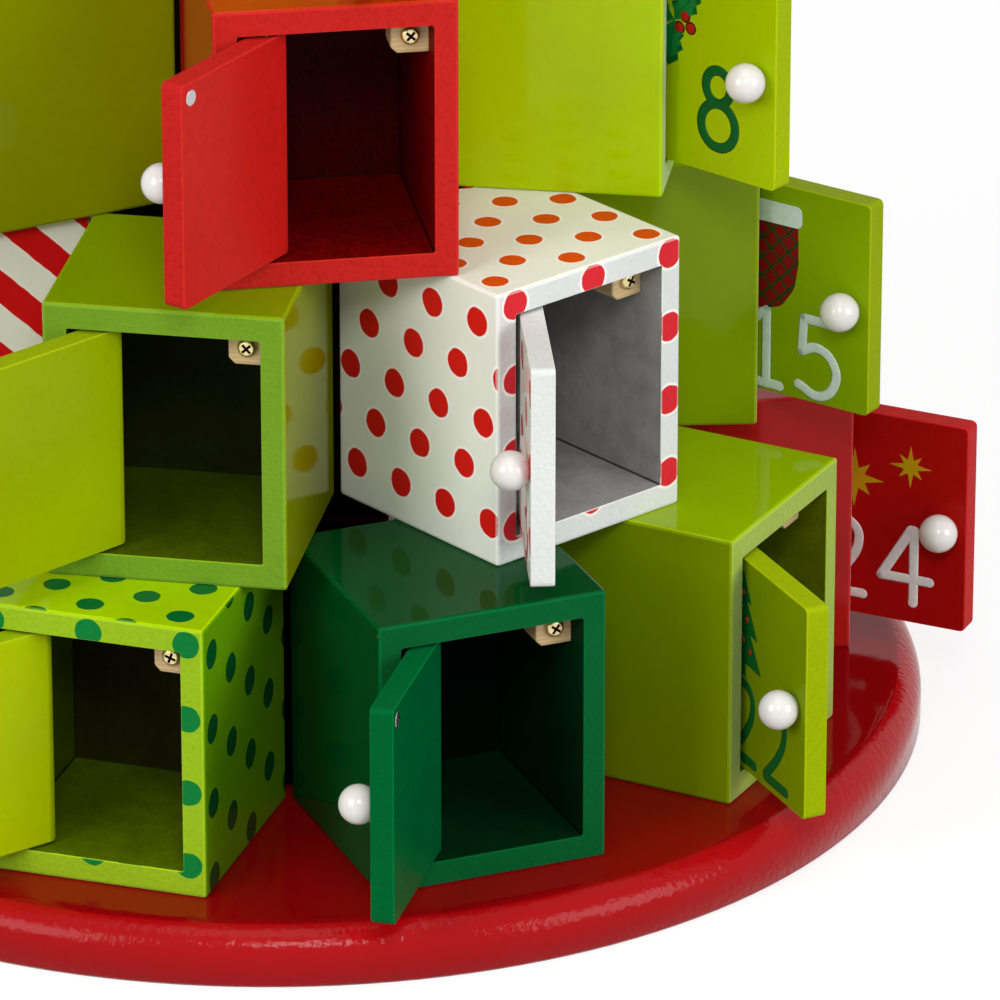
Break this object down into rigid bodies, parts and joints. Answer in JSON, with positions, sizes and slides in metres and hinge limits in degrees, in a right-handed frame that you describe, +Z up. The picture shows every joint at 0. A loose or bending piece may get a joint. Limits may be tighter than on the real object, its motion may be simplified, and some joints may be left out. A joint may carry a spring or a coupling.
{
  "type": "advent calendar",
  "caption": "Tree-shaped tower of painted wooden boxes in shrinking rings on a round base, each with a hinged door, ball knob and magnetic catch, for small daily gifts.",
  "frame": {"origin": "centre of the base disc's underside, on the tower's axis", "axes": "+Z up along the tower's axis; -Y towards the front seen in the picture; +X to that viewer's right"},
  "size_m": [0.349, 0.3432, 0.3775],
  "materials": {
    "red_paint": "gloss paint",
    "lime_paint": "gloss paint",
    "leaf_green_paint": "gloss paint",
    "dark_green_paint": "gloss paint",
    "white_paint": "gloss paint",
    "gold_paint": "satin paint",
    "beech": "bare wood",
    "pin_steel": "bright",
    "screw_brass": "bright"
  },
  "bodies": {
    "tower": {"box_01": "dark_green_paint", "box_02": "lime_paint", "box_03": "red_paint", "box_04": "white_paint", "box_05": "lime_paint", "box_06": "red_paint", "box_07": "leaf_green_paint", "box_08": "lime_paint", "box_09": "white_paint", "box_10": "red_paint", "box_11": "lime_paint", "box_12": "lime_paint", "box_13": "white_paint", "box_14": "dark_green_paint", "box_15": "leaf_green_paint", "box_16": "white_paint", "box_17": "red_paint", "box_18": "dark_green_paint", "box_19": "dark_green_paint", "box_20": "lime_paint", "box_21": "leaf_green_paint", "box_22": "lime_paint", "box_23": "lime_paint", "box_24": "red_paint", "base_disc": "red_paint", "hinge_pins": "pin_steel", "catch_blocks": "beech", "catch_screws": "screw_brass", "tier_pegs": "beech", "top_cap": "red_paint", "star": "gold_paint", "star_stalk": "beech"},
    "door_01": {"door_01": "dark_green_paint"},
    "door_02": {"door_02": "lime_paint"},
    "door_03": {"door_03": "red_paint"},
    "door_04": {"door_04": "white_paint"},
    "door_05": {"door_05": "lime_paint"},
    "door_06": {"door_06": "red_paint"},
    "door_07": {"door_07": "leaf_green_paint"},
    "door_08": {"door_08": "lime_paint"},
    "door_09": {"door_09": "white_paint"},
    "door_10": {"door_10": "red_paint"},
    "door_11": {"door_11": "lime_paint"},
    "door_12": {"door_12": "lime_paint"},
    "door_13": {"door_13": "white_paint"},
    "door_14": {"door_14": "dark_green_paint"},
    "door_15": {"door_15": "leaf_green_paint"},
    "door_16": {"door_16": "white_paint"},
    "door_17": {"door_17": "red_paint"},
    "door_18": {"door_18": "dark_green_paint"},
    "door_19": {"door_19": "dark_green_paint"},
    "door_20": {"door_20": "lime_paint"},
    "door_21": {"door_21": "leaf_green_paint"},
    "door_22": {"door_22": "lime_paint"},
    "door_23": {"door_23": "lime_paint"},
    "door_24": {"door_24": "red_paint"}
  },
  "joints": [
    {"name": "door_01_hinge", "type": "hinge", "parent": "tower", "child": "door_01", "pos_m": [-0.07503, 0.01539, 0.267], "axis": [0, 0, -1], "range_deg": [-127.02, 5.3]},
    {"name": "door_02_hinge", "type": "hinge", "parent": "tower", "child": "door_02", "pos_m": [0.02419, -0.07268, 0.267], "axis": [0, 0, -1], "range_deg": [-127.02, 5.3]},
    {"name": "door_03_hinge", "type": "hinge", "parent": "tower", "child": "door_03", "pos_m": [0.05085, 0.05729, 0.267], "axis": [0, 0, -1], "range_deg": [0, 132.32]},
    {"name": "door_04_hinge", "type": "hinge", "parent": "tower", "child": "door_04", "pos_m": [0.0613, 0.07991, 0.195], "axis": [0, 0, -1], "range_deg": [0, 132.32]},
    {"name": "door_05_hinge", "type": "hinge", "parent": "tower", "child": "door_05", "pos_m": [-0.09657, -0.02862, 0.195], "axis": [0, 0, -1], "range_deg": [-127.02, 5.3]},
    {"name": "door_06_hinge", "type": "hinge", "parent": "tower", "child": "door_06", "pos_m": [-0.00263, -0.10068, 0.195], "axis": [0, 0, -1], "range_deg": [-132.32, 0]},
    {"name": "door_07_hinge", "type": "hinge", "parent": "tower", "child": "door_07", "pos_m": [-0.05706, 0.083, 0.195], "axis": [0, 0, -1], "range_deg": [0, 132.32]},
    {"name": "door_08_hinge", "type": "hinge", "parent": "tower", "child": "door_08", "pos_m": [0.09494, -0.03361, 0.195], "axis": [0, 0, -1], "range_deg": [-121.82, 10.5]},
    {"name": "door_09_hinge", "type": "hinge", "parent": "tower", "child": "door_09", "pos_m": [-0.11845, -0.03553, 0.123], "axis": [0, 0, -1], "range_deg": [-127.02, 5.3]},
    {"name": "door_10_hinge", "type": "hinge", "parent": "tower", "child": "door_10", "pos_m": [0.08359, 0.09004, 0.123], "axis": [0, 0, -1], "range_deg": [0, 132.32]},
    {"name": "door_11_hinge", "type": "hinge", "parent": "tower", "child": "door_11", "pos_m": [-0.04396, -0.11076, 0.123], "axis": [0, 0, -1], "range_deg": [-127.02, 5.3]},
    {"name": "door_12_hinge", "type": "hinge", "parent": "tower", "child": "door_12", "pos_m": [-0.01616, 0.1255, 0.123], "axis": [0, 0, -1], "range_deg": [0, 132.32]},
    {"name": "door_13_hinge", "type": "hinge", "parent": "tower", "child": "door_13", "pos_m": [0.0613, -0.09942, 0.123], "axis": [0, 0, -1], "range_deg": [-127.02, 5.3]},
    {"name": "door_14_hinge", "type": "hinge", "parent": "tower", "child": "door_14", "pos_m": [-0.10608, 0.06962, 0.123], "axis": [0, 0, -1], "range_deg": [0, 132.32]},
    {"name": "door_15_hinge", "type": "hinge", "parent": "tower", "child": "door_15", "pos_m": [0.11807, -0.01006, 0.123], "axis": [0, 0, -1], "range_deg": [-127.02, 5.3]},
    {"name": "door_16_hinge", "type": "hinge", "parent": "tower", "child": "door_16", "pos_m": [0.10245, 0.099, 0.051], "axis": [0, 0, -1], "range_deg": [0, 132.32]},
    {"name": "door_17_hinge", "type": "hinge", "parent": "tower", "child": "door_17", "pos_m": [-0.13696, 0.03923, 0.051], "axis": [0, 0, -1], "range_deg": [-127.02, 5.3]},
    {"name": "door_18_hinge", "type": "hinge", "parent": "tower", "child": "door_18", "pos_m": [0.03451, -0.13822, 0.051], "axis": [0, 0, -1], "range_deg": [-127.02, 5.3]},
    {"name": "door_19_hinge", "type": "hinge", "parent": "tower", "child": "door_19", "pos_m": [0.01485, 0.14169, 0.051], "axis": [0, 0, -1], "range_deg": [0, 132.32]},
    {"name": "door_20_hinge", "type": "hinge", "parent": "tower", "child": "door_20", "pos_m": [-0.06241, -0.12807, 0.051], "axis": [0, 0, -1], "range_deg": [-127.02, 5.3]},
    {"name": "door_21_hinge", "type": "hinge", "parent": "tower", "child": "door_21", "pos_m": [-0.13013, -0.05799, 0.051], "axis": [0, 0, -1], "range_deg": [-127.02, 5.3]},
    {"name": "door_22_hinge", "type": "hinge", "parent": "tower", "child": "door_22", "pos_m": [0.11528, -0.0837, 0.051], "axis": [0, 0, -1], "range_deg": [-127.02, 5.3]},
    {"name": "door_23_hinge", "type": "hinge", "parent": "tower", "child": "door_23", "pos_m": [-0.0797, 0.11808, 0.051], "axis": [0, 0, -1], "range_deg": [0, 132.32]},
    {"name": "door_24_hinge", "type": "hinge", "parent": "tower", "child": "door_24", "pos_m": [0.14212, 0.00998, 0.051], "axis": [0, 0, -1], "range_deg": [-127.02, 5.3]}
  ]
}
